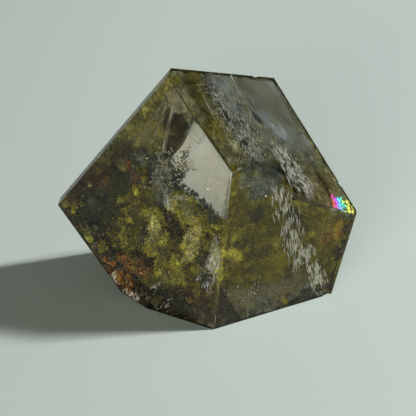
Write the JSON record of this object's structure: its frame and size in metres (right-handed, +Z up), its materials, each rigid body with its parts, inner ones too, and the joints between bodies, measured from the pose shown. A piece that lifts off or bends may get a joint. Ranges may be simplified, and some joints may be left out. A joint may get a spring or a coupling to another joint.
{
  "type": "garden quartz freeform",
  "caption": "Polished faceted freeform of clear quartz with mossy green and rust inclusions inside, standing on a flat cut base.",
  "frame": {"origin": "centre of the stone's footprint box, on the plane of the flat base", "axes": "+Z up out of the base, +X to the right along the stone's widest direction, -Y towards the upright edge where the two front facets meet"},
  "size_m": [0.0506, 0.0306, 0.0411],
  "materials": {
    "garden_quartz": "polished, transparent with mossy inclusions"
  },
  "bodies": {
    "root": {"quartz_freeform": "garden_quartz"}
  },
  "joints": []
}
